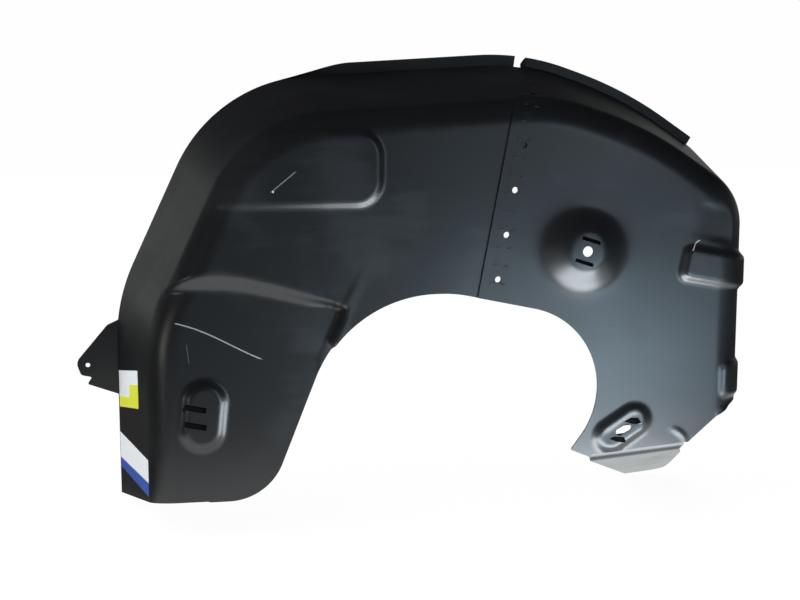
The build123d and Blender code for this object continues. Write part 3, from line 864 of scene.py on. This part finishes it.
class Finish:
    """One material, or the world. node() adds any node: its type, its settings, then its sockets."""

    def __init__(self, name, store=bpy.data.materials):
        self.data = store.new(name)
        self.data.use_nodes = True
        self.data.node_tree.nodes.clear()

    def node(self, kind, settings=None, inputs=None, out=0):
        made = self.data.node_tree.nodes.new(kind)
        for key, value in (settings or {}).items():
            setattr(made, key, value)
        for key, value in (inputs or {}).items():
            if isinstance(value, Wire):
                self.data.node_tree.links.new(value.socket, made.inputs[key])
            else:
                made.inputs[key].default_value = value
        return Wire(self, made.outputs[out]) if made.outputs else None

    def place(self, kind="Object"):
        """The place on the piece, or the direction in the world."""
        return self.node("ShaderNodeTexCoord", out=kind)

    def split(self, vector):
        """The three parts of a vector."""
        parts = self.node("ShaderNodeSeparateXYZ", None, {0: vector}).socket.node.outputs
        return [Wire(self, part) for part in parts]

    def noise(self, where, scale, detail, stretch=(1, 1, 1), turn=(0, 0, 0)):
        """Noise of a given scale on a place, stretched and turned."""
        place = self.node("ShaderNodeMapping", None, {"Vector": where, "Scale": stretch, "Rotation": turn})
        return self.node("ShaderNodeTexNoise", None, {"Vector": place, "Scale": scale, "Detail": detail})

    def mix(self, amount, a, b):
        """Blends two colours."""
        return self.node("ShaderNodeMix", {"data_type": "RGBA"}, {0: amount, 6: a, 7: b}, 2)

    def mix_shader(self, amount, a, b):
        """Blends two shaders."""
        return self.node("ShaderNodeMixShader", None, {0: amount, 1: a, 2: b})

    def bump(self, height, strength, distance):
        """The normal of a surface with a fine relief."""
        sockets = {"Height": height, "Strength": strength, "Distance": distance}
        return self.node("ShaderNodeBump", None, sockets)

    def shaded(self, inputs):
        """The principled shader with given sockets, and the material's output."""
        shader = self.node("ShaderNodeBsdfPrincipled", None, inputs)
        self.node("ShaderNodeOutputMaterial", None, {"Surface": shader})
        print("finish", self.data.name, "has", len(self.data.node_tree.nodes), "nodes")
        return self.data


# %% [markdown]
# ## Black plastic
# Black polyethylene with a half gloss: a fine grain from the hot mould, faint flow streaks, rubbed patches
# that are greyer and duller, and a few pale scratches. An image could hold the scratches. Each is instead
# a line worked out from two points of the wall, which stays sharp at any size.

# %% Sheet finish
SHEET_BLACK, RUBBED_BLACK = (0.0055, 0.006, 0.007, 1), (0.011, 0.012, 0.014, 1)
SCRATCH_PALE = (0.62, 0.63, 0.68, 1)
SKIN_SOFT, SCRATCH_CORE, SCRATCH_END, BOW = 0.0003, 0.3, 0.06, 27 / 4
PAD_SKIN, FOOT_SKIN, BLOCK_SKIN = 0.0197, 0.0341, 0.0215
Mark = namedtuple("Mark", "ends sag width strength skin")
FRONT_MARKS = [Mark(((-0.5118, -0.0763), (-0.3901, -0.1261)), 0.0063, 0.0011, 0.5, FOOT_SKIN),
               Mark(((-0.3813, 0.0749), (-0.3505, 0.1002)), 0.0, 0.0008, 0.3, PAD_SKIN),
               Mark(((-0.3792, 0.0762), (-0.3768, 0.0764)), 0.0, 0.0017, 0.9, PAD_SKIN),
               Mark(((-0.4817, -0.104), (-0.4790, -0.128)), 0.0, 0.0008, 0.09, FOOT_SKIN)]
REAR_MARKS = [Mark(((0.1496, 0.0087), (0.1370, -0.0034)), -0.002, 0.001, 0.6, BLOCK_SKIN)]


def scratch(place, mark):
    """A thin line between two points of the wall, as X and Z in metres, on the outer face, in front of the
    skin's Y. It bows by its sag times 27/4 a(1 - a)(1 - a), which is 1 a third of the way along."""
    (x0, z0), (x1, z1) = mark.ends
    long = np.hypot(x1 - x0, z1 - z0)
    way = ((x1 - x0) / long, (z1 - z0) / long)
    x, y, z = place
    along = ((x - x0) * way[0] + (z - z0) * way[1]) / long
    aside = (z - z0) * way[0] - (x - x0) * way[1] - along * (1 - along) * (1 - along) * (BOW * mark.sag)
    line = 1 - abs(aside).step(mark.width * SCRATCH_CORE, mark.width)
    outer = 1 - y.step(mark.skin - SKIN_SOFT, mark.skin + SKIN_SOFT)
    return line * outer * along.step(0, SCRATCH_END) * (1 - along.step(1 - SCRATCH_END, 1)) * mark.strength


def black_plastic(name, scratches):
    """Grained black plastic with streaks, rubbed patches and given scratches."""
    finish = Finish(name)
    where = finish.place()
    grain = finish.noise(where, scale=900, detail=2)
    cloud = finish.noise(where, scale=9, detail=4)
    streak = finish.noise(where, scale=60, detail=3, stretch=(0.25, 1, 2.2), turn=(0, 0.35, 0))
    rubbed = (cloud * 0.85 + streak * 0.15).step(0.48, 0.66)
    place = finish.split(where)
    marks = scratch(place, scratches[0])
    for mark in scratches[1:]:
        marks = marks.larger(scratch(place, mark))
    colour = finish.mix(marks, finish.mix(rubbed * 0.7, SHEET_BLACK, RUBBED_BLACK), SCRATCH_PALE)
    rough = 0.3 + rubbed * 0.06 + streak * 0.03 + marks * 0.3
    relief = finish.bump(grain * 0.6 + cloud * 0.4, strength=0.1, distance=0.0006)
    return finish.shaded({"Base Color": colour, "Roughness": rough, "Normal": relief,
                          "Specular IOR Level": 0.6})


front_half.data.materials.append(black_plastic("front_black_plastic", FRONT_MARKS))
rear_half.data.materials.append(black_plastic("rear_black_plastic", REAR_MARKS))

# %% [markdown]
# ## Paper
# The labels are white paper with plain fields, a little soiled. The fields follow the paper's own map and
# not its place, so they stay square to the label where it is tilted.

# %% Label finishes
PAPER_WHITE, PAPER_SOILED = (0.86, 0.89, 0.9, 1), (0.7, 0.73, 0.74, 1)
YELLOW, BLUE = (0.77, 0.82, 0.03, 1), (0.03, 0.09, 0.42, 1)


def paper(name, field, fields):
    """White paper with one colour inside the given fields of its map."""
    finish = Finish(name)
    s, t, _ = finish.split(finish.node("ShaderNodeUVMap", {"uv_map": "paper"}))
    where = finish.place()
    soil = finish.noise(where, scale=160, detail=4)
    colour = finish.mix(fields(s, t), finish.mix(soil * 0.35, PAPER_WHITE, PAPER_SOILED), field)
    fibre = finish.bump(finish.noise(where, scale=1500, detail=2), strength=0.08, distance=0.0002)
    return finish.shaded({"Base Color": colour, "Roughness": 0.42 + soil * 0.15, "Normal": fibre})


def yellow_fields(s, t):
    """A band along the foot, and a corner field above it on the near side."""
    band = 1 - t.step(0.26, 0.3)
    return band.larger((1 - t.step(0.6, 0.64)) * (1 - s.step(0.42, 0.46)))


def blue_field(s, t):
    """A field along the foot whose upper edge slants."""
    return 1 - (t - 0.38 + s * 0.12).step(-0.02, 0.03)


upper_label.data.materials.append(paper("upper_label_paper", YELLOW, yellow_fields))
lower_label.data.materials.append(paper("lower_label_paper", BLUE, blue_field))

# %% [markdown]
# ## Wire
# The staples are thin flat wire that holds the lap. Their solids are fine enough to stay as they are, so
# they only get a dark, dull, speckled steel.

# %% Staple finish
STEEL_DARK, STEEL_WORN = (0.008, 0.008, 0.008, 1), (0.05, 0.048, 0.045, 1)


def staple_steel(name):
    """Dull wire with fine specks."""
    finish = Finish(name)
    speck = finish.noise(finish.place(), scale=1200, detail=3)
    colour = finish.mix(speck, STEEL_DARK, STEEL_WORN)
    return finish.shaded({"Base Color": colour, "Metallic": 0.4, "Roughness": 0.35 + speck * 0.25})


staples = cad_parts["seam_staples"]
staples.data.materials.clear()
staples.data.materials.append(staple_steel("staple_steel"))

# %% [markdown]
# ## Camera and floor
# The camera stands above the wall's middle and to its front side. The floor is pale, so the object keeps
# its shadow, and nearly white to the camera. What the glossy sheet mirrors of it is set apart, where a
# studio would use cards: bright ground close in front, and a dim room farther off.

# %% Camera and floor
AZIMUTH, ELEVATION, DISTANCE = radians(-10), radians(9), 1.8
TARGET, LENS, SENSOR = np.array([-0.227, 0.0208, -0.056]), 67.5, 36
FLOOR_GAP, FLOOR_PLAN = 0.001, ((-6, -0.5), (6, -0.5), (6, 6), (-6, 6))
FLOOR_PALE, WHITE_SHARE = (0.88, 0.88, 0.88, 1), 0.88
WHITE, BRIGHT, DIM = ((1, 1, 1, 1), 1.08), ((0.96, 1, 1, 1), 1.45), ((1, 1, 0.92, 1), 0.06)

camera_data = bpy.data.cameras.new("camera")
camera_data.lens, camera_data.sensor_width = LENS, SENSOR
camera = new_object("camera", camera_data)
camera_way = np.array([sin(AZIMUTH) * cos(ELEVATION), -cos(AZIMUTH) * cos(ELEVATION), sin(ELEVATION)])
camera.location = TARGET + camera_way * DISTANCE
camera.rotation_euler = (pi / 2 - ELEVATION, 0, AZIMUTH)
bpy.context.scene.camera = camera

floor_mesh = bpy.data.meshes.new("floor")
floor_z = cad_box[0][2] - FLOOR_GAP
floor_mesh.from_pydata([(*corner, floor_z) for corner in FLOOR_PLAN], [], [(0, 1, 2, 3)])
floor = new_object("floor", floor_mesh)


def ray_kinds(finish):
    """Whether a ray comes from the camera, and whether from a mirror-like or clear surface."""
    rays = finish.node("ShaderNodeLightPath").socket.node.outputs
    camera_ray, glossy, clear = (Wire(finish, rays[name]) for name in
                                 ("Is Camera Ray", "Is Glossy Ray", "Is Transmission Ray"))
    return camera_ray, glossy.larger(clear)


def glow(finish, colour, strength):
    """An even light of its own."""
    return finish.node("ShaderNodeEmission", None, {"Color": colour, "Strength": strength})


def pale_floor(name):
    """Pale to light, nearly white to the camera, and in mirrored rays bright near the object."""
    finish = Finish(name)
    x, y, _ = finish.split(finish.place())
    left = (x - y.step(0, 0.2) * 0.2).step(-0.8, -0.66)
    near = left * (1 - x.step(0.3, 0.65)) * (1 - y.step(0.5, 0.9)) * y.step(-0.5, -0.2)
    camera_ray, mirrored = ray_kinds(finish)
    pale = finish.node("ShaderNodeBsdfDiffuse", None, {"Color": FLOOR_PALE})
    ground = finish.mix_shader(near, glow(finish, *DIM), glow(finish, *BRIGHT))
    seen = finish.mix_shader(mirrored, pale, ground)
    seen = finish.mix_shader(camera_ray * WHITE_SHARE, seen, glow(finish, *WHITE))
    finish.node("ShaderNodeOutputMaterial", None, {"Surface": seen})
    return finish.data


floor_mesh.materials.append(pale_floor("pale_floor"))
print("camera at", list(camera.location), "floor at", floor_z)

# %% [markdown]
# ## Surround and lamps
# The surround is white to the camera, a dim room to mirrored rays and a soft light to all others. Most
# lamps stand low in front, as when such a part lies on bright ground, so the faces that look down are
# the brightest. An outdoor picture could light it too, but not so evenly.

# %% Surround and lamps
BACKDROP = (0.99, 0.99, 0.99, 1)
FRONT_LOW, FRONT_HIGH = (0.34, 0.4, 0.44, 1), (0.035, 0.035, 0.04, 1)
BEHIND_LOW, BEHIND_HIGH = (0.3, 0.31, 0.3, 1), (0.02, 0.02, 0.022, 1)
LIT_SIDE, SHADE_SIDE = (1.7, 1.72, 1.75, 1), (0.2, 0.205, 0.21, 1)
Lamp = namedtuple("Lamp", "name place aim size power colour")
LAMPS = [
    Lamp("low_front", (0.0, -0.17, -0.338), (0.0, -0.169, 0.0), (0.45, 0.24), 4.6, (0.86, 0.94, 1.0)),
    Lamp("right_front", (0.32, -0.95, -0.43), (0.05, 0.0, -0.12), (0.36, 0.4), 4.2, (0.6, 0.83, 1.0)),
    Lamp("right_upper", (0.62, -1.5, 0.3), (0.1, 0.0, 0.1), (0.5, 0.5), 1.6, (0.75, 0.9, 1.0)),
    Lamp("left_fill", (-1.9, -0.95, -0.2), (-0.5, 0.1, -0.1), (0.6, 0.3), 1.8, (1.0, 0.97, 0.92))]


def studio(name):
    """White for the camera, a room for mirrored rays, and soft light from the front side for the rest."""
    finish = Finish(name, bpy.data.worlds)
    x, y, z = finish.split(finish.place("Generated"))
    camera_ray, mirrored = ray_kinds(finish)
    front = finish.mix(z.step(-0.26, -0.1), FRONT_LOW, FRONT_HIGH)
    behind = finish.mix(z.step(0.08, 0.3), BEHIND_LOW, BEHIND_HIGH)
    room = finish.mix(y.step(-0.2, 0.3), front, behind)
    soft = finish.mix(x.step(-0.8, 0), LIT_SIDE, SHADE_SIDE)
    seen = finish.mix(camera_ray, finish.mix(mirrored, soft, room), BACKDROP)
    background = finish.node("ShaderNodeBackground", None, {"Color": seen})
    finish.node("ShaderNodeOutputWorld", None, {"Surface": background})
    return finish.data


def soft_light(lamp):
    """A soft rectangle of light at a place, turned to a point, unseen by the camera."""
    data = bpy.data.lights.new(lamp.name, "AREA")
    data.shape, data.size, data.size_y = "RECTANGLE", lamp.size[0], lamp.size[1]
    data.energy, data.color = lamp.power, lamp.colour
    light = new_object(lamp.name, data)
    way = np.subtract(lamp.aim, lamp.place)
    light.location = lamp.place
    light.rotation_euler = (np.arccos(-way[2] / norm(way)), 0, atan2(way[1], way[0]) - pi / 2)
    light.visible_camera = False


bpy.context.scene.world = studio("studio")
for lamp in LAMPS:
    soft_light(lamp)
bpy.context.scene.view_settings.view_transform = "Standard"
print(len(LAMPS), "lamps")
